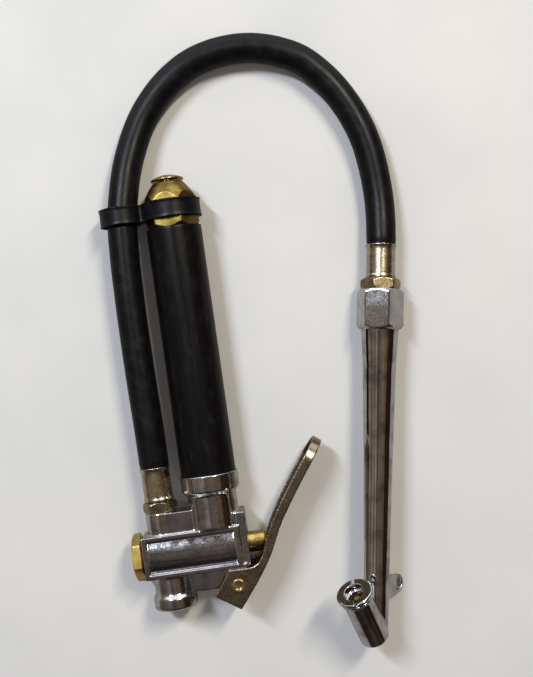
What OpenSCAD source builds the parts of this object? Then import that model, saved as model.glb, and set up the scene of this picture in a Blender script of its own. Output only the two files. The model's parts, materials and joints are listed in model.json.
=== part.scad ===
/* [Gauge barrel] */
// Diameter over the rubber sleeve
sleeve_d = 29.2; // [28.6:0.1:29.4]
// Length of sleeve seen between the collar and the end cap
sleeve_len = 130.7; // [120:0.1:140]
// Outer diameter of the gauge tube
tube_d = 23; // [22.6:0.1:23.4]
// Wall of the gauge tube
tube_wall = 1.1; // [0.9:0.1:1.3]
// Distance across the flats of the brass end cap
cap_flats = 25; // [24.6:0.1:25]
// Diameter of the dome button
button_d = 17.5; // [15:0.5:18]
// Diameter of the indicator bar
bar_d = 7.5; // [6:0.1:7.8]

/* [Valve body] */
// Length of the valve block, along the plunger
block_len = 51.6; // [51.2:0.2:52]
// Height and depth of the valve block
block_h = 22; // [21.6:0.2:23]
// Diameter of the collar that holds the barrel
collar_d = 31; // [30.4:0.2:31.8]
// Diameter of the bead round the air inlet
inlet_bead_d = 23; // [22:0.5:24]
// Bore of the air inlet thread
inlet_bore_d = 13.2; // [12:0.2:14]
// Diameter of the plunger
plunger_d = 10.8; // [10.2:0.1:11]
// Running clearance round the plunger and the rivet, on the radius
running_gap = 0.05; // [0.02:0.01:0.08]

/* [Lever] */
// Width of the lever over both cheeks
lever_w = 25.7; // [25.6:0.1:26.4]
// Thickness of the lever's sheet steel
lever_t = 1.5; // [1.3:0.1:1.5]
// Depth of the channel at the finger end
lever_depth = 5; // [4:0.5:6]
// Diameter of the rivet shank that the lever turns on
rivet_d = 5.4; // [5:0.1:5.8]

/* [Hose] */
// Outer diameter of the rubber hose
hose_d = 15.8; // [15.4:0.1:15.8]
// Outer diameter of the crimped ferrules
ferrule_d = 15.9; // [15.6:0.1:16.2]

/* [Chuck] */
// Distance across the flats of the chuck's hexagon
chuck_flats = 22; // [21:0.5:22]
// Length of the twin-foot head
head_len = 34.7; // [34.7:0.1:36]
// Diameter of the head
head_d = 15.5; // [15.2:0.1:16]
// Angle between the head and the shaft
head_angle = 39.4; // [36:0.2:42]
// Hole of the hanging lug
lug_hole_d = 6.8; // [6:0.1:7.2]

/* [Hidden] */
$fn = 72;

// The origin is the centre of the inlet's mouth. +Y runs along the barrel to the end cap, +X along the
// plunger to the lever and +Z up from the bench, which lies 16 below.
barrel_x = 26.2;
hose_x = -1.5;
valve_y = 28.5;
block_x = -13;
block_end = block_x + block_len;
block_foot = valve_y - block_h / 2;
block_top = valve_y + block_h / 2;

// Levels along the barrel
tube_foot = 52;
sleeve_foot = 66.7;
collar_top = 68;
sleeve_top = collar_top + sleeve_len;
tube_top = sleeve_top + 7.3;
gasket_t = 1.2;
cap_shoulder = sleeve_top + 15.3;
cap_top = cap_shoulder + 8.5;
tube_bore_r = tube_d / 2 - tube_wall;

// Valve: bores and levels along the plunger
strainer_r = 6;
chamber_r = 7;
seat_x = -1.6;
seat_end = 0.4;
seat_r = 3.6;
stem_r = 2.4;
outlet_r = 6.2;
bush_x = 29;
bush_r = 8;
plate_t = 3.8;
seal_at = [31.5, 36];
seal_groove = 2.2;
plunger_tip = 52.3;
plug_hex_x = -18.4;
plug_face = -13.8;
pocket_floor = -16.4;
head_back = -8;

// Lever
pivot = [34.6, 9.1];
cheek_in = lever_w / 2 - lever_t;
tab_t = block_h;

// Hose ends
nipple_bore_r = 2.2;
boss_top = 51;
ferrule_len = 17.8;
crimped_hose_r = 7.3;

// Chuck: its frame stands at the top of the hexagon, +Y along the shaft to the hose, +X to the head's side
chuck_top = [130.5, 151, -3.7];
chuck_heading = -9.2;
chuck_tilt = -3.5;
chuck_roll = -127;
hex_len = 21;
head_root = 183.05;
rear_face = 0.9;
lug_at = [-20.9, -157.2];

// Route of the hose's centre line, from the valve's nipple to the chuck's nipple. The first and the last
// three points lie in the ferrules, where the hose is squeezed.
HOSE_ROUTE = [
  [-1.5, 56.5, 0], [-1.5, 66, 0], [-1.5, 74, 0], [-1.5, 76, 0], [-1.6, 95, 0], [-2, 115, -0.2],
  [-2.3, 140, -0.5], [-2.2, 165, -0.6], [-1.6, 190, -0.8], [-0.2, 208, -1.3], [2, 220, -2.5],
  [5, 232, -4], [8.9, 243, -5.6], [13.4, 253, -7], [18.2, 261.2, -7.8], [23.8, 268.3, -8.1],
  [30.4, 275, -8.1], [38.3, 281, -8.1], [47, 285.8, -8.1], [56.5, 288.8, -8.1], [66, 290.2, -8.1],
  [76, 290.2, -8.1], [86, 288.5, -8.1], [96, 285, -8.1], [105.2, 280, -8.1], [112.8, 273, -8.1],
  [119.8, 264.4, -8.1], [125.6, 254.8, -8.1], [130.6, 243.7, -8.1], [134.2, 232, -8.1],
  [136.2, 219, -8.1], [137, 206, -8], [136.7, 193, -7.2], [135.7, 184, -6], [134.7, 176.6, -5.3],
  [134.3, 174.3, -5.1], [132.9, 165.8, -4.6], [131.4, 156.7, -4.1],
];

// ---- Shared shapes ----

// A solid turned about the X axis from [x, r] points
module turned_x(points) {
  rotate([90, 0, 90])
    rotate_extrude()
      polygon([for (p = points) [p[1], p[0]]]);
}

// A solid turned about the Y axis from [y, r] points
module turned_y(points) {
  rotate([-90, 0, 0])
    rotate_extrude()
      polygon([for (p = points) [p[1], p[0]]]);
}

// A rod along Y from y0 to y1
module rod_y(y0, y1, r) {
  translate([0, y0, 0])
    rotate([-90, 0, 0])
      cylinder(h = y1 - y0, r = r);
}

// A rod along X from x0 to x1
module rod_x(x0, x1, r) {
  translate([x0, 0, 0])
    rotate([0, 90, 0])
      cylinder(h = x1 - x0, r = r);
}

// A ring along Y
module ring_y(y0, y1, r_out, r_in) {
  difference() {
    rod_y(y0, y1, r_out);
    rod_y(y0 - 1, y1 + 1, r_in);
  }
}

// A ring along X
module ring_x(x0, x1, r_out, r_in) {
  difference() {
    rod_x(x0, x1, r_out);
    rod_x(x0 - 1, x1 + 1, r_in);
  }
}

// A hexagon along Y with its corners turned off at both ends
module hex_y(y0, y1, flats, spin = 0) {
  r = flats / sqrt(3);
  c = r - flats / 2;
  intersection() {
    translate([0, y0, 0])
      rotate([-90, spin, 0])
        cylinder(h = y1 - y0, r = r, $fn = 6);
    turned_y([[y0, 0], [y0, flats / 2], [y0 + c, r + 0.01], [y1 - c, r + 0.01], [y1, flats / 2], [y1, 0]]);
  }
}

// A ring of n points of radius r about c, square to the direction d, which is never along side
function ring_at(c, d, r, n, side) =
  let (
    w = d / norm(d),
    u0 = cross(w, side),
    u = u0 / norm(u0),
    v = cross(w, u)
  )
  [for (i = [0 : n - 1]) c + r * (cos(i * 360 / n) * u + sin(i * 360 / n) * v)];

// A round tube swept along a route, with a radius for each of its points
module swept(route, radii, n, side) {
  m = len(route);
  rings = [
    for (i = [0 : m - 1])
      ring_at(route[i], route[min(i + 1, m - 1)] - route[max(i - 1, 0)], radii[i], n, side)
  ];
  points = [for (q = rings) each q];
  walls = [
    for (i = [0 : m - 2], j = [0 : n - 1])
      [(i + 1) * n + j, (i + 1) * n + (j + 1) % n, i * n + (j + 1) % n, i * n + j]
  ];
  foot = [for (j = [0 : n - 1]) j];
  head = [for (j = [0 : n - 1]) m * n - 1 - j];
  polyhedron(points, concat([foot, head], walls));
}

// A coil spring along Y
module coil_y(y0, y1, r, wire_r, turns) {
  steps = turns * 10;
  line = [
    for (i = [0 : steps])
      [r * cos(i * 36), y0 + wire_r + (y1 - y0 - 2 * wire_r) * i / steps, r * sin(i * 36)]
  ];
  swept(line, [for (i = [0 : steps]) wire_r], 6, [0, 1, 0]);
}

// ---- Valve ----

module on_valve_axis() {
  translate([0, valve_y, 0])
    children();
}

module on_barrel_axis() {
  translate([barrel_x, 0, 0])
    children();
}

// The raised frame and the shallow convex panel on each broad face of the block
module block_shape() {
  frame_w = 2.5;
  frame_depth = 4;
  panel_r = 19;
  crown = block_h / 2 - 0.2;
  difference() {
    translate([block_x, block_foot, -block_h / 2])
      cube([block_len, block_h, block_h]);
    for (side = [-1, 1])
      translate([block_x + frame_w, block_foot + frame_w, side * block_h / 2 - frame_depth / 2])
        cube([block_len - 2 * frame_w, block_h - 2 * frame_w, frame_depth]);
  }
  on_valve_axis()
    intersection() {
      translate([0, 0, panel_r - crown])
        rod_x(block_x + 1, block_end - 1, panel_r);
      translate([0, 0, crown - panel_r])
        rod_x(block_x + 1, block_end - 1, panel_r);
      translate([block_x, 1 - block_h / 2, -block_h])
        cube([block_len, block_h - 2, 2 * block_h]);
    }
}

// The eye that the lever's rivet passes through, and the web that ties it to the inlet
module lever_tab() {
  tab_r = 5.6;
  translate([0, 0, -tab_t / 2])
    linear_extrude(tab_t) {
      translate(pivot)
        circle(tab_r);
      translate([pivot[0] - tab_r, pivot[1]])
        square([2 * tab_r, block_foot + 2 - pivot[1]]);
    }
  translate([8, 7, -4.5])
    cube([22, block_foot + 2 - 7, 9]);
}

module valve_body() {
  collar_r = collar_d / 2;
  neck_r = 13.2;
  boss_r = 8.4;
  bead_r = inlet_bead_d / 2;
  plate_lap = 1.6;
  plate_high = 29;
  plate_half = 9.6;
  web_half = 8;
  color("gainsboro")
    difference() {
      union() {
        block_shape();
        lever_tab();
        on_barrel_axis()
          turned_y([
            [block_top, 0], [block_top, neck_r], [57, neck_r], [59.5, collar_r],
            [collar_top - 0.4, collar_r], [collar_top, collar_r - 0.4], [collar_top, 0],
          ]);
        translate([hose_x, 0, 0])
          rod_y(block_top - 4, boss_top, boss_r);
        translate([hose_x, block_top - 4, -web_half])
          cube([barrel_x - hose_x - 6, boss_top - block_top + 3.4, 2 * web_half]);
        turned_y([
          [0, 0], [0, bead_r - 1], [1, bead_r], [6, bead_r], [8.5, bead_r - 1.5],
          [block_foot + 2, bead_r - 1.5], [block_foot + 2, 0],
        ]);
        // The end plate stands up beside the barrel's neck
        translate([block_end - plate_lap, block_foot, -plate_half])
          cube([plate_lap + plate_t, plate_high, 2 * plate_half]);
      }
      rod_y(-1, 14, inlet_bore_d / 2);
      rod_y(13, 15.6, strainer_r);
      translate([-4, 0, 0])
        rod_y(15, valve_y, 2.2);
      translate([2, 0, 0])
        rod_y(valve_y, 42, 1.4);
      translate([hose_x, 0, 0])
        rod_y(41, boss_top + 1, 5.2);
      on_barrel_axis() {
        rod_y(valve_y, tube_foot + 1, 2);
        rod_y(tube_foot, collar_top + 1, tube_d / 2);
        rod_y(sleeve_foot, collar_top + 1, sleeve_d / 2);
      }
      on_valve_axis() {
        rod_x(block_x - 1, seat_x, chamber_r);
        rod_x(seat_x - 1, seat_end + 1, seat_r);
        rod_x(seat_end, bush_x, outlet_r);
        rod_x(bush_x, block_end + plate_t + 1, bush_r);
      }
      translate([pivot[0], pivot[1], -tab_t])
        cylinder(h = 2 * tab_t, d = rivet_d);
    }
}

module inlet_strainer() {
  color("goldenrod")
    difference() {
      rod_y(14.2, 15.6, strainer_r);
      for (a = [0 : 60 : 300])
        rotate([0, a, 0])
          translate([3.6, 0, 0])
            rod_y(13, 17, 1.1);
      rod_y(13, 17, 1.1);
    }
}

module valve_plug() {
  color("goldenrod")
    on_valve_axis()
      difference() {
        union() {
          rotate([0, 0, -90])
            hex_y(plug_hex_x, plug_face, 22, -9);
          rod_x(plug_face - 1, -9.4, chamber_r);
        }
        rod_x(pocket_floor, -9, chamber_r - 0.9);
      }
}

module plug_washer() {
  color("darkgoldenrod")
    on_valve_axis()
      ring_x(plug_face, block_x, 9.6, chamber_r);
}

module valve_spring() {
  color("silver")
    on_valve_axis()
      rotate([0, 0, -90])
        coil_y(pocket_floor + 0.2, head_back - 0.2, 4, 0.4, 4);
}

// The brass head screws on to the plunger's stem and carries the seal
module valve_head() {
  color("goldenrod")
    on_valve_axis()
      ring_x(head_back, -4.4, 5.4, stem_r);
}

module valve_seal() {
  color("black")
    on_valve_axis()
      ring_x(-4.4, seat_x - 0.1, 5.2, stem_r);
}

module plunger() {
  r = plunger_d / 2;
  dome = 1.6;
  color("goldenrod")
    on_valve_axis()
      turned_x([
        [head_back, 0], [head_back, stem_r], [24, stem_r], [25, r], [plunger_tip - dome, r],
        for (a = [15 : 15 : 75]) [plunger_tip - dome + dome * sin(a), r - dome + dome * cos(a)],
        [plunger_tip, r - dome], [plunger_tip, 0],
      ]);
}

module guide_bush() {
  color("goldenrod")
    on_valve_axis()
      difference() {
        rod_x(bush_x, block_end + plate_t - 2.4, bush_r);
        rod_x(bush_x - 1, block_end + plate_t, plunger_d / 2 + running_gap);
        for (x = seal_at)
          rod_x(x, x + seal_groove, plunger_d / 2 + 1.8);
      }
}

// Two O-rings in the bush
module stem_seals() {
  cord_r = 0.75;
  color("black")
    on_valve_axis()
      for (x = seal_at)
        translate([x + seal_groove / 2, 0, 0])
          rotate([0, 90, 0])
            rotate_extrude()
              translate([plunger_d / 2 + 0.15 + cord_r, 0])
                circle(cord_r, $fn = 24);
}

// ---- Lever ----

function bezier(a, b, c, d, t) =
  pow(1 - t, 3) * a + 3 * pow(1 - t, 2) * t * b + 3 * (1 - t) * t * t * c + t * t * t * d;

// The lever's back: a short bend beside the pivot and a long sweep to the tip
LEVER_STEPS = 10;
BACK_LINE = [
  for (i = [0 : LEVER_STEPS]) bezier([34.4, -3.4], [42.9, 7.1], [51.9, 17.8], [57.2, 30.2], i / LEVER_STEPS),
  for (i = [1 : LEVER_STEPS]) bezier([57.2, 30.2], [62.3, 42.2], [77.2, 62.1], [88, 76.5], i / LEVER_STEPS),
];

// The back line moved towards the barrel by d
function inner_line(d) = [
  for (i = [0 : len(BACK_LINE) - 1])
    let (
      a = BACK_LINE[max(i - 1, 0)],
      b = BACK_LINE[min(i + 1, len(BACK_LINE) - 1)],
      w = (b - a) / norm(b - a)
    )
    BACK_LINE[i] + d * [-w[1], w[0]]
];

function reversed(list) = [for (i = [len(list) - 1 : -1 : 0]) list[i]];

// The side of the channel: cheek below, narrow flange above
module lever_side() {
  flange = inner_line(lever_depth);
  upper = [for (i = [LEVER_STEPS : len(flange) - 1]) flange[i]];
  polygon(concat(
    BACK_LINE,
    reversed(upper),
    [[50.1, 26], [48.6, 22.4], [46.1, 19.2], [43.4, 17.8], [40.4, 17.4], [30.6, 17.6], [21.6, 5]]
  ));
}

// Everything on the barrel's side of the web
module lever_hollow() {
  polygon(concat(inner_line(lever_t), [[60, 110], [-20, 60], [-20, -30]]));
}

// A flat strip with a round end, seen square to the finger end of the lever
module lever_plan(half, reach) {
  foot = [34.4, -3.4];
  translate([foot[0], foot[1], 0])
    rotate([0, 0, -37])
      rotate([90, 0, 90])
        translate([0, 0, -60])
          linear_extrude(120) {
            translate([-40, -half])
              square([40 + reach - half, 2 * half]);
            translate([reach - half, 0])
              circle(half);
          }
}

module lever() {
  reach = 96;
  color("silver")
    difference() {
      intersection() {
        translate([0, 0, -lever_w / 2])
          linear_extrude(lever_w)
            lever_side();
        lever_plan(lever_w / 2, reach);
      }
      intersection() {
        translate([0, 0, -cheek_in])
          linear_extrude(2 * cheek_in)
            lever_hollow();
        lever_plan(cheek_in, reach - lever_t);
      }
      translate([pivot[0], pivot[1], -lever_w])
        cylinder(h = 2 * lever_w, r = rivet_d / 2 + running_gap);
    }
}

// A semi-tubular rivet, tight in the body's tab, with a rolled head on each side
module pivot_rivet() {
  half = lever_w / 2 + 0.1;
  color("silver")
    translate([pivot[0], pivot[1], 0])
      difference() {
        union() {
          cylinder(h = 2 * half, d = rivet_d, center = true);
          for (side = [-1, 1])
            translate([0, 0, side * (half + 0.4)])
              cylinder(h = 0.8, d = 7, center = true);
        }
        for (side = [-1, 1])
          translate([0, 0, side * half])
            cylinder(h = 4, d = 4, center = true);
      }
}

// ---- Gauge ----

module gauge_tube() {
  color("silver")
    on_barrel_axis()
      ring_y(tube_foot, tube_top, tube_d / 2, tube_bore_r);
}

module tube_sleeve() {
  color("#222222")
    on_barrel_axis()
      ring_y(sleeve_foot, sleeve_top, sleeve_d / 2, tube_d / 2);
}

// A hexagon bar, chamfered at its foot and turned to a cone above
module end_cap() {
  corner = cap_flats / sqrt(3) + 0.01;
  color("darkkhaki")
    on_barrel_axis()
      difference() {
        intersection() {
          translate([0, sleeve_top, 0])
            rotate([-90, -7.5, 0])
              cylinder(h = cap_top - sleeve_top, d = 2 * cap_flats / sqrt(3), $fn = 6);
          turned_y([
            [sleeve_top, 0], [sleeve_top, cap_flats / 2], [sleeve_top + 1.9, corner],
            [cap_shoulder - 1.4, corner], [cap_shoulder + 2.5, cap_flats / 2 + 0.1],
            [cap_shoulder + 5.6, 10.6], [cap_top, 8.3], [cap_top, 0],
          ]);
        }
        rod_y(sleeve_top - 1, tube_top + gasket_t, tube_d / 2);
        rod_y(sleeve_top, cap_top + 1, bar_d / 2 + running_gap);
      }
}

module cap_gasket() {
  color("saddlebrown")
    on_barrel_axis()
      ring_y(tube_top, tube_top + gasket_t, tube_d / 2, tube_bore_r - 0.6);
}

module gauge_spring() {
  color("silver")
    on_barrel_axis()
      coil_y(66.3, tube_top + gasket_t - 0.2, 6.6, 0.7, 14);
}

module gauge_piston() {
  color("goldenrod")
    on_barrel_axis()
      ring_y(60, 66, tube_bore_r - 0.35, bar_d / 2);
}

module piston_cup() {
  r = tube_bore_r - 0.3;
  color("black")
    on_barrel_axis()
      turned_y([[55, r - 1.2], [55, r], [60, r], [60, 0], [58.4, 0], [58.4, r - 1.2]]);
}

module indicator_bar() {
  color("silver")
    on_barrel_axis()
      rod_y(60, cap_top + 2, bar_d / 2);
}

module indicator_button() {
  r = button_d / 2;
  rim = cap_top + 1.1;
  color("goldenrod")
    on_barrel_axis()
      difference() {
        turned_y([
          [rim, 0], [rim, r - 0.3], [rim + 0.5, r], [rim + 1, r - 0.1], [rim + 1.8, r - 1.6],
          [rim + 2.6, r - 3.8], [rim + 3.2, r - 6.2], [rim + 3.4, 0],
        ]);
        rod_y(rim - 1, cap_top + 2, bar_d / 2);
      }
}

// The outside of one loop, with its rims flared
module clip_loop(y0, y1, r) {
  turned_y([[y0, 0], [y0, r], [y0 + 1.4, r - 0.4], [y1 - 1.4, r - 0.4], [y1, r], [y1, 0]]);
}

// The black clip holds the hose beside the barrel
module hose_clip() {
  y0 = cap_shoulder - 10.6;
  y1 = cap_shoulder - 1.2;
  wall = 1.55;
  gauge_r = 14.45;
  hose_r = 10.3;
  loop_at = [-0.6, 0, -1.4];
  color("#1a1a1a")
    difference() {
      union() {
        on_barrel_axis()
          clip_loop(y0, y1, gauge_r + wall);
        translate(loop_at)
          clip_loop(y0, y1, hose_r + wall);
        translate([7.6, y0, -4])
          cube([5, y1 - y0, 8]);
      }
      on_barrel_axis()
        rod_y(y0 - 1, y1 + 1, gauge_r);
      translate(loop_at)
        rod_y(y0 - 1, y1 + 1, hose_r);
    }
}

// ---- Hose and its fittings, each along +Y from the face it screws against ----

module hose_nipple(flats, hex_len, stub_r, spin) {
  color("darkkhaki")
    difference() {
      union() {
        rod_y(-8, 0, stub_r);
        hex_y(0, hex_len, flats, spin);
        turned_y([
          [hex_len, 0],
          for (i = [0 : 3]) each [[hex_len + 3 * i, 3.8], [hex_len + 3 * i + 3, 4.3]],
          [hex_len + 12, 0],
        ]);
      }
      rod_y(-9, hex_len + 13, nipple_bore_r);
    }
}

module ferrule(y0) {
  r = ferrule_d / 2;
  color("silver")
    difference() {
      turned_y([
        [y0, 0], [y0, r], [y0 + 2, r], [y0 + 3, r - 0.35], [y0 + ferrule_len - 2.4, r - 0.35],
        [y0 + ferrule_len - 0.8, r + 0.25], [y0 + ferrule_len, r + 0.25], [y0 + ferrule_len, 0],
      ]);
      rod_y(y0 - 1, y0 + ferrule_len + 1, crimped_hose_r + 0.02);
    }
}

module hose_nipple_valve() {
  translate([hose_x, boss_top, 0])
    hose_nipple(16, 5.5, 5.2, 0);
}

module ferrule_valve() {
  translate([hose_x, boss_top, 0])
    ferrule(5.9);
}

module air_hose() {
  last = len(HOSE_ROUTE) - 1;
  radii = [for (i = [0 : last]) i < 3 || i > last - 3 ? crimped_hose_r : hose_d / 2];
  color("#202020")
    swept(HOSE_ROUTE, radii, 12, [0, 0, 1]);
}

module ferrule_chuck() {
  in_chuck_frame()
    ferrule(6.2);
}

module hose_nipple_chuck() {
  in_chuck_frame()
    hose_nipple(19, 5.8, 6, 12);
}

// ---- Chuck ----

module in_chuck_frame() {
  translate(chuck_top)
    rotate([0, 0, chuck_heading])
      rotate([chuck_tilt, 0, 0])
        rotate([0, chuck_roll, 0])
          children();
}

// +Y runs along the head from its rear mouth to its front mouth
module in_head_frame() {
  in_chuck_frame()
    translate([0, -head_root, 0])
      rotate([0, 0, -head_angle])
        children();
}

module lug_plate() {
  plate_w = 3;
  translate([0, 0, -plate_w / 2])
    linear_extrude(plate_w) {
      translate(lug_at)
        circle(5);
      polygon([
        [-5, -143], [-7, -147], [-10, -150], [-14, -151.6], [-20, -152.4], [-21, -162.2], [-17, -162.6],
        [-12, -164], [-9, -167], [-7.4, -171], [-5, -176],
      ]);
    }
}

module chuck_body() {
  head_r = head_d / 2;
  flange = head_len - 4.4;
  shaft_end = head_root - 5.3;
  color("gainsboro")
    difference() {
      union() {
        in_chuck_frame() {
          hex_y(-hex_len, 0, chuck_flats, -8.4);
          turned_y([
            [-hex_len + 1, 0], [-hex_len + 1, 9.9], [-40, 8.8], [-86, 7.7], [-146, 6.7], [-shaft_end, 6.4],
            [-shaft_end, 0],
          ]);
          lug_plate();
          // A parting ridge runs from the lug to the head
          translate([-7.4, -175, -0.7])
            cube([3, 43, 1.4]);
        }
        in_head_frame()
          turned_y([
            [rear_face, 0], [rear_face, head_r - 0.8], [rear_face + 0.8, head_r], [flange, head_r],
            [flange + 0.3, head_r + 1.25], [flange + 1.8, head_r + 1.25], [flange + 1.8, 0],
          ]);
      }
      in_chuck_frame() {
        rod_y(-14, 1, 6);
        rod_y(-shaft_end + 2, -13, 2.6);
        translate([lug_at[0], lug_at[1], -5])
          cylinder(h = 10, d = lug_hole_d);
      }
      in_head_frame() {
        rod_y(rear_face - 1, rear_face + 5.4, 6.8);
        rod_y(rear_face + 5, rear_face + 14, 5.2);
        rod_y(rear_face + 13, 17, 2);
        rod_y(16, 27, 5.2);
        rod_y(26.6, flange + 3, 6.8);
      }
    }
}

// The front nut has a wide rim with a groove behind it and two spanner slots
module chuck_nut_front() {
  slot_w = 1.5;
  color("gainsboro")
    in_head_frame()
      difference() {
        turned_y([
          [29, 0], [29, 6.8], [head_len - 2.6, 6.8], [head_len - 2.6, 8.1], [head_len - 1.7, 8.1],
          [head_len - 1.4, 9.6], [head_len - 0.5, 9.6], [head_len, 9.1], [head_len, 0],
        ]);
        rod_y(28, head_len + 1, 4.2);
        rod_y(head_len - 3.7, head_len + 1, 5.45);
        rotate([0, 32, 0])
          translate([-12, head_len - 2.2, -slot_w / 2])
            cube([24, 4, slot_w]);
      }
}

module chuck_seal_front() {
  color("black")
    in_head_frame()
      ring_y(26.6, 29, 6.8, 3.9);
}

module chuck_pin(y0, y1, disc) {
  color("goldenrod")
    in_head_frame() {
      rod_y(y0, y1, 1.5);
      rod_y(disc, disc + 2, 4.7);
    }
}

module chuck_pin_front() {
  chuck_pin(24.2, 30.4, 24.2);
}

module chuck_spring_front() {
  color("silver")
    in_head_frame()
      coil_y(17.1, 24, 3.6, 0.4, 5);
}

module chuck_nut_rear() {
  color("gainsboro")
    in_head_frame()
      difference() {
        ring_y(rear_face + 0.3, rear_face + 3, 6.8, 5.2);
        translate([-8, rear_face, -0.85])
          cube([16, 1.6, 1.7]);
      }
}

module chuck_seal_rear() {
  color("black")
    in_head_frame()
      ring_y(rear_face + 3, rear_face + 5.4, 6.8, 3.9);
}

module chuck_pin_rear() {
  chuck_pin(rear_face + 3.3, rear_face + 7.8, rear_face + 5.8);
}

module chuck_spring_rear() {
  color("silver")
    in_head_frame()
      coil_y(rear_face + 8, rear_face + 12.8, 3.6, 0.4, 4);
}

valve_body();
inlet_strainer();
valve_plug();
plug_washer();
valve_spring();
valve_head();
valve_seal();
plunger();
guide_bush();
stem_seals();
lever();
pivot_rivet();
gauge_tube();
tube_sleeve();
end_cap();
cap_gasket();
gauge_spring();
gauge_piston();
piston_cup();
indicator_bar();
indicator_button();
hose_clip();
hose_nipple_valve();
ferrule_valve();
air_hose();
ferrule_chuck();
hose_nipple_chuck();
chuck_body();
chuck_nut_front();
chuck_seal_front();
chuck_pin_front();
chuck_spring_front();
chuck_nut_rear();
chuck_seal_rear();
chuck_pin_rear();
chuck_spring_rear();
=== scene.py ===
import json
import math

import bmesh
import bpy
from mathutils import Matrix, Vector


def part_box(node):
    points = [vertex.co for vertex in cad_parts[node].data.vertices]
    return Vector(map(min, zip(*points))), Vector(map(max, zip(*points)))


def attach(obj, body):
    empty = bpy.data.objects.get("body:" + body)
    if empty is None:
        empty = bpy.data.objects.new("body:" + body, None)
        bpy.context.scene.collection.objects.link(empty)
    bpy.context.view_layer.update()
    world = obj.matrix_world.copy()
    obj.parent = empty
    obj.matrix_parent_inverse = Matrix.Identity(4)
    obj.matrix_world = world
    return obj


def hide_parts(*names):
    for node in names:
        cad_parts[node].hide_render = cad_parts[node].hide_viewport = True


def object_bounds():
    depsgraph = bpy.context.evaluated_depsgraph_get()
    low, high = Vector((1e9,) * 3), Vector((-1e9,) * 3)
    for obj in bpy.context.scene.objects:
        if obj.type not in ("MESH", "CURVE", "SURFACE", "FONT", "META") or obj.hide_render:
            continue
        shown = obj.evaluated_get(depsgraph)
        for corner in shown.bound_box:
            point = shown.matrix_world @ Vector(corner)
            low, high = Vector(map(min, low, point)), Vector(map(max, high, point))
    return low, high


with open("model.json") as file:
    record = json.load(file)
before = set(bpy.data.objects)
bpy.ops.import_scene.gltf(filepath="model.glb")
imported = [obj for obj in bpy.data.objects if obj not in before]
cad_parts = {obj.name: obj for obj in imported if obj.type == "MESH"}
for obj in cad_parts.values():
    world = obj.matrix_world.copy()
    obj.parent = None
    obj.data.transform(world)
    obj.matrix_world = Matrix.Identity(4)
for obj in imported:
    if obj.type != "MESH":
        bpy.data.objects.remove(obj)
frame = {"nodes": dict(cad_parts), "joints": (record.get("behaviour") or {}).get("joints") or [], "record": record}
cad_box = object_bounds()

# ---- The bench top, the lights and the camera ----
# A matt white laminate worktop under two tube lamps, a cool one on the left and a warm one on the right,
# in a dim brown room with a window. The camera stands straight above the tool.

MM = 0.001


def colour(code):
    """An sRGB hex code as linear RGBA."""
    channels = [int(code[i : i + 2], 16) / 255 for i in (0, 2, 4)]
    linear = [c / 12.92 if c <= 0.04045 else ((c + 0.055) / 1.055) ** 2.4 for c in channels]
    return (*linear, 1.0)


def add(tree, kind, inputs=None, stops=(), **settings):
    """Adds a node. Each input is a value, or the socket it is linked from; stops are (position, hex code)."""
    made = tree.nodes.new(kind)
    for key, value in settings.items():
        setattr(made, key, value)
    for key, value in (inputs or {}).items():
        if isinstance(value, bpy.types.NodeSocket):
            tree.links.new(value, made.inputs[key])
        else:
            made.inputs[key].default_value = value
    if stops:
        band = made.color_ramp.elements
        while len(band) < len(stops):
            band.new(0.5)
        for element, (position, code) in zip(band, stops):
            element.position = position
            element.color = colour(code)
    return made


def new_material(name):
    material = bpy.data.materials.new(name)
    material.use_nodes = True
    tree = material.node_tree
    tree.nodes.clear()
    shader = add(tree, "ShaderNodeBsdfPrincipled")
    output = add(tree, "ShaderNodeOutputMaterial")
    tree.links.new(shader.outputs["BSDF"], output.inputs["Surface"])
    return material, tree, shader


def noise(tree, size_mm, detail=3.0, stretch=(1, 1, 1), turn=(0, 0, 0)):
    """A noise pattern about size_mm across, on the piece's own coordinates; stretch above 1 draws it out."""
    where = add(tree, "ShaderNodeTexCoord").outputs["Object"]
    scale = tuple(1 / s for s in stretch)
    placed = add(tree, "ShaderNodeMapping", {"Vector": where, "Scale": scale, "Rotation": turn})
    texture = add(
        tree, "ShaderNodeTexNoise",
        {"Vector": placed.outputs["Vector"], "Scale": 1 / (size_mm * MM), "Detail": detail},
    )
    return texture.outputs["Fac"]


def finish(tree, shader, tone, roughness, relief):
    """Finishes a surface. The tone is (pattern, stops) or a colour socket. The roughness is (pattern, low,
    high), with the pattern's range after them where it isn't 0.3 to 0.7. The relief is layers of (pattern,
    depth in mm), the lowest first."""
    if isinstance(tone, tuple):
        tone = add(tree, "ShaderNodeValToRGB", {"Fac": tone[0]}, tone[1]).outputs["Color"]
    pattern, low, high, start, end = (*roughness, 0.3, 0.7)[:5]
    spread = {"Value": pattern, "From Min": start, "From Max": end, "To Min": low, "To Max": high}
    rough = add(tree, "ShaderNodeMapRange", spread).outputs["Result"]
    tree.links.new(tone, shader.inputs["Base Color"])
    tree.links.new(rough, shader.inputs["Roughness"])
    under = {}
    for height, depth_mm in relief:
        layer = {"Height": height, "Distance": depth_mm * MM, "Strength": 1.0, **under}
        under = {"Normal": add(tree, "ShaderNodeBump", layer).outputs["Normal"]}
    tree.links.new(under["Normal"], shader.inputs["Normal"])


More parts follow.
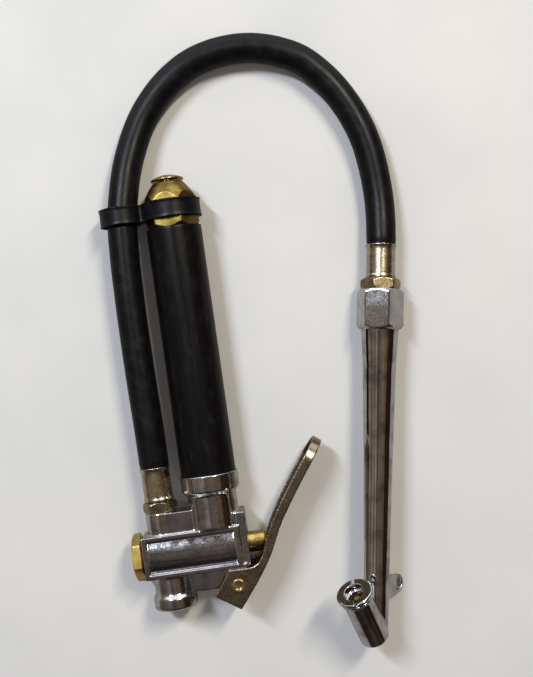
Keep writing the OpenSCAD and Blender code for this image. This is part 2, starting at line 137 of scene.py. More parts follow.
def laminate():
    """Pressed matt white melamine laminate: faintly cloudy, with a pebble that softens its reflections."""
    material, tree, shader = new_material("white_melamine_laminate")
    clouds = [(0.3, "DEDEDC"), (0.7, "E6E5E2")]
    tone = add(tree, "ShaderNodeValToRGB", {"Fac": noise(tree, 60, 2)}, clouds).outputs["Color"]
    # Painted shade in reflections: bright pieces mirror the bench darker than it is seen, so that their rims stand
    # out from it
    mirrored = add(tree, "ShaderNodeLightPath").outputs["Is Glossy Ray"]
    shades = {"Factor": mirrored, "A": tone, "B": colour("A3A09B")}
    seen = add(tree, "ShaderNodeMix", shades, data_type="RGBA").outputs["Result"]
    finish(tree, shader, seen, (noise(tree, 4), 0.5, 0.6), [(noise(tree, 0.8), 0.004)])
    return material


def linked(name, mesh):
    made = bpy.data.objects.new(name, mesh)
    bpy.context.scene.collection.objects.link(made)
    return made


bench_z = cad_box[0][2]
bench_half = 1.2
bench_mesh = bpy.data.meshes.new("bench_top")
corners = [(-1, -1), (1, -1), (1, 1), (-1, 1)]
bench_mesh.from_pydata([(x * bench_half, y * bench_half, bench_z) for x, y in corners], [], [(0, 1, 2, 3)])
bench_top = linked("bench_top", bench_mesh)
bench_mesh.materials.append(laminate())

# The camera's foot on the bench, its height over the barrel's axis and its turn, clockwise
camera_foot = (66.7 * MM, 133.8 * MM)
camera_height = 541 * MM
camera_turn = math.radians(-8.05)
camera_data = bpy.data.cameras.new("camera")
camera_data.lens = 54.28
camera_data.sensor_width = 36
camera_data.clip_start = 0.01
camera = linked("camera", camera_data)
camera.location = (*camera_foot, camera_height)
camera.rotation_euler = (0, 0, camera_turn)
bpy.context.scene.camera = camera
bpy.context.scene.view_settings.view_transform = "Standard"


def lamp(name, centre, size, watts, code):
    """A soft rectangular lamp that faces the middle of the tool."""
    data = bpy.data.lights.new(name, "AREA")
    data.shape = "RECTANGLE"
    data.size, data.size_y = size
    data.energy = watts
    data.color = colour(code)[:3]
    made = linked(name, data)
    made.location = centre
    aim = Vector((*camera_foot, bench_z)) - Vector(centre)
    made.rotation_euler = aim.to_track_quat("-Z", "Y").to_euler()
    return made


lamp("cool_tube", (-0.63, 0.93, 1.6), (0.16, 0.6), 19.4, "E8F1FF")
lamp("warm_tube", (0.79, 0.93, 1.6), (0.16, 0.6), 16.5, "FFF8E6")


def room():
    """The room as bright parts mirror it: brown from side to side, a tall window north, dusk to the south."""
    world = bpy.data.worlds.new("room")
    world.use_nodes = True
    bpy.context.scene.world = world
    tree = world.node_tree
    tree.nodes.clear()
    way = add(tree, "ShaderNodeTexCoord").outputs["Generated"]
    axes = add(tree, "ShaderNodeSeparateXYZ", {"Vector": way}).outputs

    def share(value, start, end, low=0.0, high=1.0):
        limits = {"Value": value, "From Min": start, "From Max": end, "To Min": low, "To Max": high}
        return add(tree, "ShaderNodeMapRange", limits).outputs["Result"]

    def mixed(factor, a, b, blend="MIX"):
        shades = {"Factor": factor, "A": a, "B": b}
        return add(tree, "ShaderNodeMix", shades, data_type="RGBA", blend_type=blend).outputs["Result"]

    sides = [
        (0.0, "71635A"), (0.1, "756A60"), (0.26, "8A7D70"), (0.4, "5E5550"), (0.52, "6C645D"),
        (0.6, "7F725E"), (0.8, "766450"), (0.9, "32200F"), (1.0, "42302A"),
    ]
    walls = add(tree, "ShaderNodeValToRGB", {"Fac": share(axes["X"], -1, 1)}, sides).outputs["Color"]
    patches = add(tree, "ShaderNodeTexNoise", {"Vector": way, "Scale": 4.0, "Detail": 3.0}).outputs["Fac"]
    greys = [(0.35, "9A9A9A"), (0.65, "FFFFFF")]
    grey = add(tree, "ShaderNodeValToRGB", {"Fac": patches}, greys).outputs["Color"]
    darks = [(0.0, "7C7C80"), (1.0, "FFFFFF")]
    dusk = add(tree, "ShaderNodeValToRGB", {"Fac": share(axes["Y"], -0.7, 0.1)}, darks).outputs["Color"]
    shaded = mixed(1.0, mixed(1.0, walls, grey, "MULTIPLY"), dusk, "MULTIPLY")
    seen = mixed(share(axes["Y"], 0.58, 0.68), shaded, colour("F2F6FF"))
    # Only what is mirrored shows the room; everything else is filled by an even light
    mirrored = add(tree, "ShaderNodeLightPath").outputs["Is Glossy Ray"]
    fill = mixed(mirrored, colour("F6EDEA"), seen)
    strength = share(mirrored, 0, 1, 0.26, 1.5)
    sky = add(tree, "ShaderNodeBackground", {"Color": fill, "Strength": strength})
    output = add(tree, "ShaderNodeOutputWorld")
    tree.links.new(sky.outputs["Background"], output.inputs["Surface"])


room()

# ---- Air hose ----
# Smooth black rubber air hose, extruded over a textile braid and cut to length. It runs up beside the
# barrel through the clip, arches over on the bench and comes back down into the chuck.

hose_d = 15.8 * MM
squeezed_r = 7.3 * MM
HOSE_ROUTE_MM = [
    (-1.5, 56.5, 0), (-1.5, 66, 0), (-1.5, 74, 0), (-1.5, 76, 0), (-1.6, 95, 0), (-2, 115, -0.2),
    (-2.3, 140, -0.5), (-2.2, 165, -0.6), (-1.6, 190, -0.8), (-0.2, 208, -1.3), (2, 220, -2.5),
    (5, 232, -4), (8.9, 243, -5.6), (13.4, 253, -7), (18.2, 261.2, -7.8), (23.8, 268.3, -8.1),
    (30.4, 275, -8.1), (38.3, 281, -8.1), (47, 285.8, -8.1), (56.5, 288.8, -8.1), (66, 290.2, -8.1),
    (76, 290.2, -8.1), (86, 288.5, -8.1), (96, 285, -8.1), (105.2, 280, -8.1), (112.8, 273, -8.1),
    (119.8, 264.4, -8.1), (125.6, 254.8, -8.1), (130.6, 243.7, -8.1), (134.2, 232, -8.1),
    (136.2, 219, -8.1), (137, 206, -8), (136.7, 193, -7.2), (135.7, 184, -6), (134.7, 176.6, -5.3),
    (134.3, 174.3, -5.1), (132.9, 165.8, -4.6), (131.4, 156.7, -4.1),
]
hose_route = [Vector(p) * MM for p in HOSE_ROUTE_MM]


def tube_tree():
    """Geometry Nodes: a closed round tube along a curve, with the distance along it kept as an attribute."""
    tree = bpy.data.node_groups.new("tube_along_curve", "GeometryNodeTree")
    sockets = tree.interface
    sockets.new_socket("Geometry", in_out="INPUT", socket_type="NodeSocketGeometry")
    for name, kind in (("Radius", "Float"), ("Spacing", "Float"), ("Sides", "Int"), ("Material", "Material")):
        sockets.new_socket(name, in_out="INPUT", socket_type="NodeSocket" + kind)
    sockets.new_socket("Geometry", in_out="OUTPUT", socket_type="NodeSocketGeometry")
    given = add(tree, "NodeGroupInput").outputs
    even = {"Curve": given["Geometry"], "Length": given["Spacing"]}
    line = add(tree, "GeometryNodeResampleCurve", even, mode="LENGTH").outputs["Curve"]
    far = add(tree, "GeometryNodeSplineParameter").outputs["Length"]
    marked = add(
        tree, "GeometryNodeStoreNamedAttribute",
        {"Geometry": line, "Name": "along", "Value": far}, data_type="FLOAT", domain="POINT",
    ).outputs["Geometry"]
    ring = add(
        tree, "GeometryNodeCurvePrimitiveCircle", {"Radius": given["Radius"], "Resolution": given["Sides"]}
    ).outputs["Curve"]
    width = add(tree, "GeometryNodeInputRadius").outputs["Radius"]
    tube = add(
        tree, "GeometryNodeCurveToMesh",
        {"Curve": marked, "Profile Curve": ring, "Scale": width, "Fill Caps": True},
    ).outputs["Mesh"]
    smooth = add(tree, "GeometryNodeSetShadeSmooth", {"Geometry": tube}).outputs["Geometry"]
    whole = add(tree, "GeometryNodeRealizeInstances", {"Geometry": smooth}).outputs["Geometry"]
    coated = add(
        tree, "GeometryNodeSetMaterial", {"Geometry": whole, "Material": given["Material"]}
    ).outputs["Geometry"]
    add(tree, "NodeGroupOutput", {"Geometry": coated})
    return tree


TUBE_TREE = tube_tree()


def tube(name, points, radius, spacing, sides, material, widths=None):
    """A round tube through the points, as a plain mesh; widths are factors on its radius at each point."""
    curve = bpy.data.curves.new(name + "_line", "CURVE")
    curve.dimensions = "3D"
    curve.resolution_u = 8
    spline = curve.splines.new("BEZIER")
    spline.bezier_points.add(len(points) - 1)
    for knot, point, width in zip(spline.bezier_points, points, widths or [1.0] * len(points)):
        knot.co = point
        knot.radius = width
        knot.handle_left_type = knot.handle_right_type = "AUTO"
    line = linked(name + "_line", curve)
    modifier = line.modifiers.new("tube", "NODES")
    modifier.node_group = TUBE_TREE
    values = {"Radius": radius, "Spacing": spacing, "Sides": sides, "Material": material}
    for item in TUBE_TREE.interface.items_tree:
        if item.in_out == "INPUT" and item.name in values:
            modifier[item.identifier] = values[item.name]
    graph = bpy.context.evaluated_depsgraph_get()
    mesh = bpy.data.meshes.new_from_object(line.evaluated_get(graph), depsgraph=graph)
    bpy.data.objects.remove(line)
    mesh.name = name
    made = linked(name, mesh)
    sharpen(made, 50)
    return made


def sharpen(piece, degrees):
    """Smooth shading, with edges over that angle kept sharp."""
    piece.data.shade_smooth()
    piece.data.set_sharp_from_angle(angle=math.radians(degrees))


def hose_rubber():
    """Extruded SBR rubber: near black, satin, with fine die lines and a little grey dust along it."""
    material, tree, shader = new_material("extruded_black_rubber")
    far = add(tree, "ShaderNodeAttribute", attribute_name="along").outputs["Fac"]
    where = add(tree, "ShaderNodeTexCoord").outputs["Object"]
    dust = noise(tree, 5, 4)
    tone = (dust, [(0.35, "0D0D0E"), (0.6, "121214"), (0.75, "1C1C1E")])
    bands = add(
        tree, "ShaderNodeTexNoise", {"W": far, "Scale": 160.0, "Detail": 3.0}, noise_dimensions="1D"
    ).outputs["Fac"]
    speck = add(tree, "ShaderNodeTexNoise", {"Vector": where, "Scale": 1400.0, "Detail": 2.0}).outputs["Fac"]
    finish(tree, shader, tone, (dust, 0.3, 0.42), [(bands, 0.03), (speck, 0.012)])
    shader.inputs["Specular IOR Level"].default_value = 0.2
    return material


squeeze = squeezed_r / (hose_d / 2)
hose_widths = [squeeze] * 3 + [1.0] * (len(hose_route) - 6) + [squeeze] * 3
air_hose = tube("hose_tube", hose_route, hose_d / 2, 2.0 * MM, 48, hose_rubber(), hose_widths)
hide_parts("air_hose")
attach(air_hose, "inflator")

# ---- Valve body ----
# A zinc die casting, polished and chrome plated: the square valve block with its round panels, the inlet
# below, the hose boss, the barrel's neck and collar above, and the eye for the lever's rivet.


def frame_copy(node, name, turn=None):
    """A merged copy of a CAD node's mesh, turned by turn, as a new object."""
    mesh = frame["nodes"][node].data.copy()
    mesh.name = name
    mesh.materials.clear()
    shape = bmesh.new()
    shape.from_mesh(mesh)
    bmesh.ops.remove_doubles(shape, verts=shape.verts, dist=0.002 * MM)
    if turn is not None:
        bmesh.ops.transform(shape, matrix=turn, verts=shape.verts)
    shape.to_mesh(mesh)
    shape.free()
    if "sharp_edge" in mesh.attributes:
        mesh.attributes.remove(mesh.attributes["sharp_edge"])
    return linked(name, mesh)


def settled(piece):
    """The piece with its modifiers applied to its mesh."""
    graph = bpy.context.evaluated_depsgraph_get()
    mesh = bpy.data.meshes.new_from_object(piece.evaluated_get(graph), depsgraph=graph)
    name = piece.name
    bpy.data.objects.remove(piece)
    mesh.name = name
    return linked(name, mesh)


def rounded_copy(node, name, grain, passes, turn=None):
    """A CAD node with every edge rounded, as casting, pressing or moulding leaves it."""
    piece = frame_copy(node, name, turn)
    grid = piece.modifiers.new("grid", "REMESH")
    grid.mode = "VOXEL"
    grid.voxel_size = grain
    worn = piece.modifiers.new("worn", "SMOOTH")
    worn.factor = 0.5
    worn.iterations = passes
    piece = settled(piece)
    if turn is not None:
        piece.data.transform(turn.inverted())
    piece.data.shade_smooth()
    return piece


def fit(piece, body, slot, material, *nodes):
    """Gives a piece its material, sets it on its body and hides the CAD nodes that it stands for."""
    piece.data.materials.clear()
    piece.data.materials.append(material)
    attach(piece, body)
    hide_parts(*nodes)
    return piece


def chrome(name, cloud_mm, dull, peel, grit):
    """Decorative chrome over nickel: bright and cold, with cloudy handled patches and a faint orange peel."""
    material, tree, shader = new_material(name)
    clouds = noise(tree, cloud_mm, 4)
    tone = (clouds, [(0.35, "A5A4A6"), (0.5, "D2D1D3"), (0.7, "E4E4E6")])
    shader.inputs["Metallic"].default_value = 1.0
    fine = noise(tree, 0.5, 4)
    film = add(tree, "ShaderNodeMath", {0: clouds, 1: fine}, operation="MULTIPLY").outputs["Value"]
    finish(tree, shader, tone, (film, dull, 0.04, 0.12, 0.3), [(noise(tree, 2.2, 2), peel), (fine, grit)])
    return material


cast_chrome = chrome("chromed_zinc_casting", 6, 0.3, 0.035, 0.006)
valve_body = rounded_copy("valve_body", "valve_casting", 0.42 * MM, 4)
fit(valve_body, "inflator", "chromed_casting", cast_chrome, "valve_body")

# ---- Inlet strainer, valve and plunger ----
# The working parts in the block, turned from brass bar: a drilled strainer in the inlet, the plug that
# closes the block, the valve head with its rubber seal, and the plunger in its bush.


def rounded(outline, radius, steps=4):
    """A closed outline of (y, r) with its corners off the axis rounded."""
    made = []
    count = len(outline)
    for i, (y, r) in enumerate(outline):
        here = Vector((y, r))
        before = Vector(outline[i - 1]) - here
        after = Vector(outline[(i + 1) % count]) - here
        if r <= 0 or before.length == 0 or after.length == 0:
            made.append(here)
            continue
        reach = min(radius, before.length * 0.45, after.length * 0.45)
        start = here + before.normalized() * reach
        end = here + after.normalized() * reach
        for k in range(steps + 1):
            t = k / steps
            made.append(start * (1 - t) ** 2 + here * 2 * t * (1 - t) + end * t ** 2)
    return [(p[0], max(p[1], 0.0)) for p in made]


def turned(name, outline, place=None, segments=96, shape=None):
    """A closed solid turned about +Y from an outline in metres; shape(y, r, angle) may change a radius."""
    mesh = bpy.data.meshes.new(name)
    solid = bmesh.new()
    rings = []
    for y, r in outline:
        ring = []
        for j in range(segments):
            angle = 2 * math.pi * j / segments
            radius = shape(y, r, angle) if shape else r
            ring.append(solid.verts.new((radius * math.cos(angle), y, radius * math.sin(angle))))
        rings.append(ring)
    for i, ring in enumerate(rings):
        after = rings[(i + 1) % len(rings)]
        for j in range(segments):
            k = (j + 1) % segments
            solid.faces.new((ring[j], ring[k], after[k], after[j]))
    bmesh.ops.remove_doubles(solid, verts=solid.verts, dist=0.001 * MM)
    bmesh.ops.recalc_face_normals(solid, faces=solid.faces)
    if place is not None:
        solid.transform(place)
    solid.to_mesh(mesh)
    solid.free()
    made = linked(name, mesh)
    sharpen(made, 40)
    return made


def brass(name, bright, tarnish, shine):
    """Turned free-cutting brass: finely flecked by the tool, browner where hands and air have reached it."""
    material, tree, shader = new_material(name)
    stain = noise(tree, 7, 5)
    shader.inputs["Metallic"].default_value = 1.0
    speck = noise(tree, 0.6, 3)
    tone = (stain, [(0.35, tarnish), (0.62, bright)])
    finish(tree, shader, tone, (speck, shine, shine + 0.16), [(speck, 0.004)])
    return material


def paint(material, *nodes):
    """A better material on CAD nodes whose shape is right."""
    for node in nodes:
        mesh = frame["nodes"][node].data
        mesh.materials.clear()
        mesh.materials.append(material)


valve_y = 28.5 * MM
polished_brass = brass("polished_brass_bar", "D6BC78", "A88C48", 0.16)
satin_brass = brass("satin_brass_bar", "D8C07A", "A88C48", 0.34)
inner_brass = brass("dull_brass_bar", "B08A45", "7A6232", 0.34)
paint(inner_brass, "inlet_strainer", "valve_head", "gauge_piston", "chuck_pin_front", "chuck_pin_rear")
paint(satin_brass, "guide_bush")

# The plunger's frame: its +Y lies along the block's +X
along_x = Matrix.Translation((0, valve_y, 0)) @ Matrix.Rotation(math.radians(-90), 4, "Z")
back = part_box("plunger")[0].x
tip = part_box("plunger")[1].x
plunger_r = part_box("plunger")[1].z
stem_r = 2.4 * MM
plunger = turned(
    "plunger_rod",
    rounded([
        (back, 0), (back, stem_r), (24 * MM, stem_r), (25 * MM, plunger_r), (tip - 1.5 * MM, plunger_r),
        (tip - 0.5 * MM, plunger_r - 0.6 * MM), (tip, plunger_r - 2.2 * MM), (tip, 0),
    ], 0.5 * MM, 5),
    along_x,
)
fit(plunger, "plunger_set", "brass", polished_brass, "plunger")


def hexagon(flats, spin=0.0, start=-1.0, end=1.0):
    """For turned(): clips the radius to a hexagon with slightly rounded corners, between start and end."""
    def clip(y, r, angle):
        if not start <= y <= end:
            return r
        off = (angle - spin + math.pi / 6) % (math.pi / 3) - math.pi / 6
        flat = flats / 2 / math.cos(off)
        return min(r, flat, flats / math.sqrt(3) * 0.985)
    return clip


def chamfered(start, end, flats, bore=0.0, slopes=(0.8, 0.8)):
    """The outline of a hexagon bar, its corners turned off; slopes are the chamfers' lengths per depth."""
    corner = flats / math.sqrt(3)
    face = flats / 2 * 0.985
    depth = corner - face
    rows = 8
    outline = [(start, bore)]
    for i in range(rows + 1):
        outline.append((start + depth * slopes[0] * i / rows, face + depth * i / rows))
    for i in range(rows + 1):
        outline.append((end - depth * slopes[1] * (1 - i / rows), corner - depth * i / rows))
    outline.append((end, bore))
    return outline


plug_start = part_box("valve_plug")[0].x
plug_flats = 22 * MM
plug_face = -13.8 * MM
plug_head = turned(
    "plug_hexagon", chamfered(plug_start, plug_face, plug_flats, 0.0, (0.45, 0.15)), along_x, 180,
    hexagon(plug_flats, math.radians(99)),
)
fit(plug_head, "inflator", "brass", satin_brass, "valve_plug")


def red_fibre():
    """Vulcanised fibre sheet, punched: dry, brick red-brown, with short paper fibres showing."""
    material, tree, shader = new_material("vulcanised_fibre")
    strands = noise(tree, 0.7, 4, (1, 4, 1))
    tone = (strands, [(0.35, "5A2A18"), (0.65, "7E4128")])
    finish(tree, shader, tone, (strands, 0.55, 0.75), [(strands, 0.02)])
    return material


paint(red_fibre(), "plug_washer", "cap_gasket")


def moulded_nitrile():
    """Moulded nitrile rubber: soft black, matt with a finely sparked surface."""
    material, tree, shader = new_material("moulded_nitrile")
    grit = noise(tree, 0.4, 3)
    tone = (grit, [(0.3, "121212"), (0.7, "242424")])
    finish(tree, shader, tone, (grit, 0.55, 0.7), [(grit, 0.01)])
    return material


paint(
    moulded_nitrile(), "valve_seal", "stem_seals", "piston_cup", "chuck_seal_front", "chuck_seal_rear"
)

# ---- Lever ----
# Pressed from 1.5 mm steel strip and nickel plated: two cheeks outside the block, a flat web that bears on
# the plunger and a round finger end with its rim folded in.


def nickelled_steel(name, dark, light, grain_mm, pit_mm):
    """Bright nickel over metal: yellower than chrome, with the grain beneath and fine handling marks."""
    material, tree, shader = new_material(name)
    clouds = noise(tree, 4, 5)
    shader.inputs["Metallic"].default_value = 1.0
    pits = noise(tree, grain_mm, 4)
    scratches = noise(tree, 0.35, 2, (1, 14, 1), (0, 0, math.radians(35)))
    tone = (clouds, [(0.3, dark), (0.68, light)])
    finish(tree, shader, tone, (pits, 0.16, 0.34), [(pits, pit_mm), (scratches, 0.004)])
    return material


lever = rounded_copy("lever", "squeeze_lever", 0.36 * MM, 3)
lever_nickel = nickelled_steel("nickelled_strip_steel", "8C7C68", "B5A791", 0.8, 0.006)
fit(lever, "lever_arm", "nickelled_steel", lever_nickel, "lever")

# ---- Lever rivet ----
# A semi-tubular steel rivet, tight in the casting's eye. Its open ends are rolled over into round heads.

hinge = next(j for j in frame["joints"] if j["name"] == "lever_hinge")
pivot = Vector(hinge["pos_m"])
rivet_half = (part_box("pivot_rivet")[1].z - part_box("pivot_rivet")[0].z) / 2
head_r = 3.5 * MM
well_r = 1.9 * MM
shank_r = 2.7 * MM
head_t = 0.8 * MM
well = 2.2 * MM
upright = Matrix.Translation((pivot.x, pivot.y, 0)) @ Matrix.Rotation(math.radians(90), 4, "X")
rivet_outline = [
    (-rivet_half + well, 0), (-rivet_half + well, well_r), (-rivet_half, well_r), (-rivet_half, head_r),
    (-rivet_half + head_t, head_r), (-rivet_half + head_t, shank_r), (rivet_half - head_t, shank_r),
    (rivet_half - head_t, head_r), (rivet_half, head_r), (rivet_half, well_r), (rivet_half - well, well_r),
    (rivet_half - well, 0),
]
rivet = turned("lever_rivet", rounded(rivet_outline, 0.38 * MM, 5), upright, 48)
rivet_nickel = nickelled_steel("nickelled_rivet_steel", "A8966C", "DCC994", 0.5, 0.004)
fit(rivet, "inflator", "nickelled_steel", rivet_nickel, "pivot_rivet")

# ---- Gauge barrel ----
# A drawn steel tube pressed into the collar, with a black rubber sleeve pulled over it. The bar, its
# piston, the rubber cup and the long spring slide inside.


def sleeve_rubber():
    """A satin black rubber sleeve: long faint drag lines from being pulled on, and a few light scuffs."""
    material, tree, shader = new_material("pulled_on_rubber_sleeve")
    drag = noise(tree, 1.6, 4, (1, 30, 1))
    scuffs = noise(tree, 3, 5, (1, 3, 1))
    tone = (scuffs, [(0.4, "0B0A0B"), (0.6, "100F10"), (0.8, "232225")])
    finish(tree, shader, tone, (drag, 0.26, 0.38), [(drag, 0.03), (noise(tree, 0.5), 0.006)])
    shader.inputs["Specular IOR Level"].default_value = 0.2
    return material


barrel_x = (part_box("tube_sleeve")[0].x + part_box("tube_sleeve")[1].x) / 2
on_barrel = Matrix.Translation((barrel_x, 0, 0))
sleeve_foot, sleeve_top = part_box("tube_sleeve")[0].y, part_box("tube_sleeve")[1].y
sleeve_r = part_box("tube_sleeve")[1].z
tube_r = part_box("gauge_tube")[1].z
sleeve_rows = [(sleeve_foot + (sleeve_top - sleeve_foot) * i / 60, sleeve_r) for i in range(61)]
sleeve = turned(
    "barrel_sleeve",
    rounded([(sleeve_foot, tube_r)] + sleeve_rows + [(sleeve_top, tube_r)], 0.6 * MM, 3),
    on_barrel, 128,
)
fit(sleeve, "inflator", "black_rubber", sleeve_rubber(), "tube_sleeve")


def drawn_steel(name, dark, light):
    """Cold drawn and zinc plated steel: pale grey, with the long die lines of drawing."""
    material, tree, shader = new_material(name)
    lines = noise(tree, 0.5, 3, (1, 40, 1))
    tone = (lines, [(0.35, dark), (0.65, light)])
    shader.inputs["Metallic"].default_value = 1.0
    finish(tree, shader, tone, (lines, 0.22, 0.36), [(lines, 0.004)])
    return material


paint(drawn_steel("drawn_zinc_plated_steel", "A9AAAC", "CFD0D1"), "gauge_tube", "indicator_bar")

# ---- Springs ----
# Hard drawn steel wire, coiled cold and oiled: a long one round the bar, one behind the valve head and
# one behind each chuck pin.


def spring_wire():
    """Patented carbon steel wire, dark from drawing soap and heat, with fine lines round the wire."""
    material, tree, shader = new_material("patented_spring_wire")
    film = noise(tree, 1.2, 4)
    tone = (film, [(0.35, "4E4B48"), (0.65, "8E8C8A")])
    shader.inputs["Metallic"].default_value = 1.0
    finish(tree, shader, tone, (film, 0.25, 0.42), [(noise(tree, 0.2), 0.003)])
    return material


wire = spring_wire()
paint(wire, "valve_spring", "chuck_spring_front", "chuck_spring_rear")
spring_low, spring_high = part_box("gauge_spring")
wire_r = 0.7 * MM
coil_r = 6.6 * MM
coil_turns = 14
steps = coil_turns * 16
coil = []
for i in range(steps + 1):
    turn = 2 * math.pi * coil_turns * i / steps
    y = spring_low.y + wire_r + (spring_high.y - spring_low.y - 2 * wire_r) * i / steps
    coil.append(Vector((barrel_x + coil_r * math.cos(turn), y, coil_r * math.sin(turn))))
gauge_spring = tube("gauge_coil", coil, wire_r, 1.0 * MM, 10, wire)
fit(gauge_spring, "inflator", "spring_steel", wire, "gauge_spring")

# ---- End cap and button ----
# The cap is turned from hexagon brass bar and closes the barrel; the bar slides out through it and ends
# in a low domed button, polished by thumbs.

cap_flats = 25 * MM
cap_low, cap_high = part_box("end_cap")
cap_shoulder = cap_high.y - 8.5 * MM
socket_y = cap_low.y + 8.5 * MM
bar_r = 3.8 * MM
cap_bore_r = tube_r + 0.02 * MM
cap_corner = cap_flats / math.sqrt(3)
cap_levels = [
    (cap_low.y, cap_flats / 2), (cap_low.y + 1.9 * MM, cap_corner), (cap_shoulder - 1.4 * MM, cap_corner),
    (cap_shoulder + 2.5 * MM, cap_flats / 2 + 0.1 * MM), (cap_shoulder + 5.6 * MM, 10.6 * MM),
    (cap_high.y, 8.3 * MM),
]
cap_outline = [(cap_low.y, cap_bore_r)]
for (y0, r0), (y1, r1) in zip(cap_levels, cap_levels[1:]):
    cap_outline += [(y0 + (y1 - y0) * i / 12, r0 + (r1 - r0) * i / 12) for i in range(12)]
cap_outline += [cap_levels[-1], (cap_high.y, bar_r), (socket_y, bar_r), (socket_y, cap_bore_r)]
end_cap = turned("brass_end_cap", cap_outline, on_barrel, 180, hexagon(cap_flats, math.radians(37.5)))
cap_brass = brass("oiled_hexagon_brass", "A8914B", "6E5C2C", 0.24)
fit(end_cap, "inflator", "brass", cap_brass, "end_cap")

button_low, button_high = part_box("indicator_button")
button_r = (button_high.x - button_low.x) / 2
rim = button_low.y
button_outline = [
    (rim, 0), (rim, button_r - 0.3 * MM), (rim + 0.5 * MM, button_r), (rim + 1 * MM, button_r - 0.1 * MM),
    (rim + 1.8 * MM, button_r - 1.6 * MM), (rim + 2.6 * MM, button_r - 3.8 * MM),
    (rim + 3.2 * MM, button_r - 6.2 * MM), (rim + 3.4 * MM, 0),
]
button = turned("domed_button", rounded(button_outline, 1.2 * MM, 5), on_barrel)
fit(button, "indicator", "brass", polished_brass, "indicator_button")

# ---- Hose clip ----
# A band moulded in one piece from black PVC: a wide loop round the end cap, a small one round the hose.


def moulded_pvc():
    """Plasticised PVC: black, semi-gloss, with the faint texture and flow marks of its mould."""
    material, tree, shader = new_material("moulded_black_pvc")
    flow = noise(tree, 6, 4, (1, 0.5, 1))
    tone = (flow, [(0.3, "0B0B0C"), (0.7, "131315")])
    finish(tree, shader, tone, (flow, 0.3, 0.42), [(noise(tree, 0.6), 0.008)])
    shader.inputs["Specular IOR Level"].default_value = 0.25
    return material


clip = rounded_copy("hose_clip", "hose_band", 0.4 * MM, 3)
fit(clip, "inflator", "black_plastic", moulded_pvc(), "hose_clip")

# ---- Hose fittings ----
# At each end of the hose a hexagon nipple, nickel plated brass, with a steel ferrule crimped over the
# rubber. The valve's ferrule was squeezed in an eight-jaw die, the chuck's was drawn down smooth.

hose_x = HOSE_ROUTE_MM[0][0] * MM
boss_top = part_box("ferrule_valve")[0].y - 5.9 * MM
at_boss = Matrix.Translation((hose_x, boss_top, 0))
nipple_brass = nickelled_steel("nickelled_brass_hexagon", "8B7B5C", "C0B08C", 0.6, 0.004)


def nipple(name, flats, hex_length, stub_r, place, spin):
    """A drilled nipple: threaded stub, hexagon and barbed tail."""
    bore = 2.2 * MM
    outline = [(-8 * MM, bore), (-8 * MM, stub_r), (0, stub_r)]
    outline += chamfered(0, hex_length, flats)[1:-1]
    for i in range(4):
        outline += [(hex_length + 3 * i * MM, 3.8 * MM), (hex_length + (3 * i + 3) * MM, 4.3 * MM)]
    outline += [(hex_length + 12 * MM, bore)]
    return turned(name, outline, place, 180, hexagon(flats, spin, 0, hex_length))


def ferrule(name, start, jaws, place):
    """A steel sleeve with a lip at each end; jaws is the number of flats that the crimping die left."""
    length = 17.8 * MM
    outer = 7.6 * MM
    inner = squeezed_r + 0.02 * MM
    lip = 7.95 * MM
    rows = 24
    outline = [(start, inner), (start, lip), (start + 1.2 * MM, lip), (start + 2.0 * MM, outer)]
    body = [start + 2.4 * MM + (length - 5 * MM) * i / rows for i in range(rows + 1)]
    outline += [(y, outer) for y in body]
    outline += [(start + length - 1.6 * MM, outer + 0.1 * MM), (start + length - 0.5 * MM, lip + 0.25 * MM),
                (start + length, lip + 0.25 * MM), (start + length, inner)]

    def squeezed(y, r, angle):
        if not jaws or r <= inner or not body[0] <= y <= body[-1]:
            return r
        off = angle % (2 * math.pi / jaws) - math.pi / jaws
        edge = abs(off * jaws / math.pi)
        depth = math.sin(math.pi * (y - body[0]) / (body[-1] - body[0])) ** 0.35
        return r - depth * 0.16 * MM * (1 - edge ** 2) + depth * 0.12 * MM * edge ** 6

    return turned(name, rounded(outline, 0.25 * MM, 3), place, 160, squeezed)


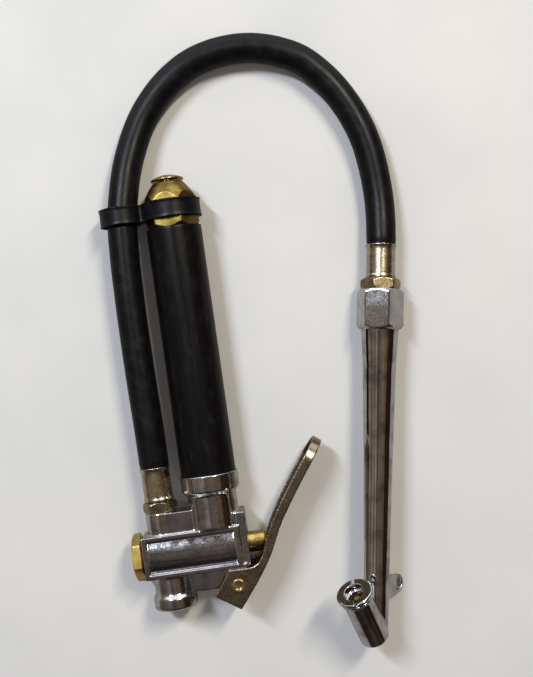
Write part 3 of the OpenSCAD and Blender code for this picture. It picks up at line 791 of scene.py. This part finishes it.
ferrule_nickel = nickelled_steel("nickelled_ferrule_steel", "B3A488", "E0D6BE", 0.7, 0.003)
nipple_valve = nipple("valve_nipple", 16 * MM, 5.5 * MM, 5.2 * MM, at_boss, math.radians(30))
fit(nipple_valve, "inflator", "nickelled_brass", nipple_brass, "hose_nipple_valve")
crimped_ferrule = ferrule("crimped_ferrule", 5.9 * MM, 8, at_boss)
fit(crimped_ferrule, "inflator", "nickelled_steel", ferrule_nickel, "ferrule_valve")

# ---- Chuck ----
# A chromed zinc casting: hexagon, long tapered shaft with a hanging eye, and a slanting head with a foot
# at each end, so that it can be pushed on an outer wheel's valve or pulled on an inner wheel's.

mounts = {m["name"]: m for m in frame["record"]["mounts"]}
head_len = 34.7 * MM
shaft_len = 183.05 * MM
head_way = Vector(mounts["chuck_front"]["axis"])
plate_way = -Vector(mounts["hang_hole"]["axis"])
shaft_way = Matrix.Rotation(math.radians(39.4), 3, plate_way) @ head_way
head_foot = Vector(mounts["chuck_front"]["pos_m"]) - head_way * head_len
chuck_top = head_foot + shaft_way * shaft_len


def standing(origin, y_way, z_way):
    """The matrix of a frame with that origin, its +Y and +Z as given."""
    columns = (y_way.cross(z_way), y_way, z_way)
    made = Matrix([[c[i] for c in columns] + [origin[i]] for i in range(3)] + [[0, 0, 0, 1]])
    return made


in_chuck = standing(chuck_top, shaft_way, plate_way)
in_head = standing(head_foot, head_way, plate_way)
chuck_body = rounded_copy("chuck_body", "chuck_casting", 0.4 * MM, 3, in_chuck.inverted())
chuck_chrome = chrome("chromed_zinc_chuck", 9, 0.16, 0.006, 0.002)
fit(chuck_body, "inflator", "chromed_casting", chuck_chrome, "chuck_body")

nipple_chuck = nipple("chuck_nipple", 19 * MM, 5.8 * MM, 6 * MM, in_chuck, math.radians(18))
fit(nipple_chuck, "inflator", "nickelled_brass", nipple_brass, "hose_nipple_chuck")
drawn_ferrule = ferrule("drawn_ferrule", 6.2 * MM, 0, in_chuck)
fit(drawn_ferrule, "inflator", "nickelled_steel", ferrule_nickel, "ferrule_chuck")

front_nut = rounded_copy("chuck_nut_front", "front_ring_nut", 0.22 * MM, 2, in_head.inverted())
fit(front_nut, "inflator", "chromed_casting", chuck_chrome, "chuck_nut_front")
rear_nut = rounded_copy("chuck_nut_rear", "rear_ring_nut", 0.22 * MM, 2, in_head.inverted())
fit(rear_nut, "inflator", "chromed_casting", chuck_chrome, "chuck_nut_rear")
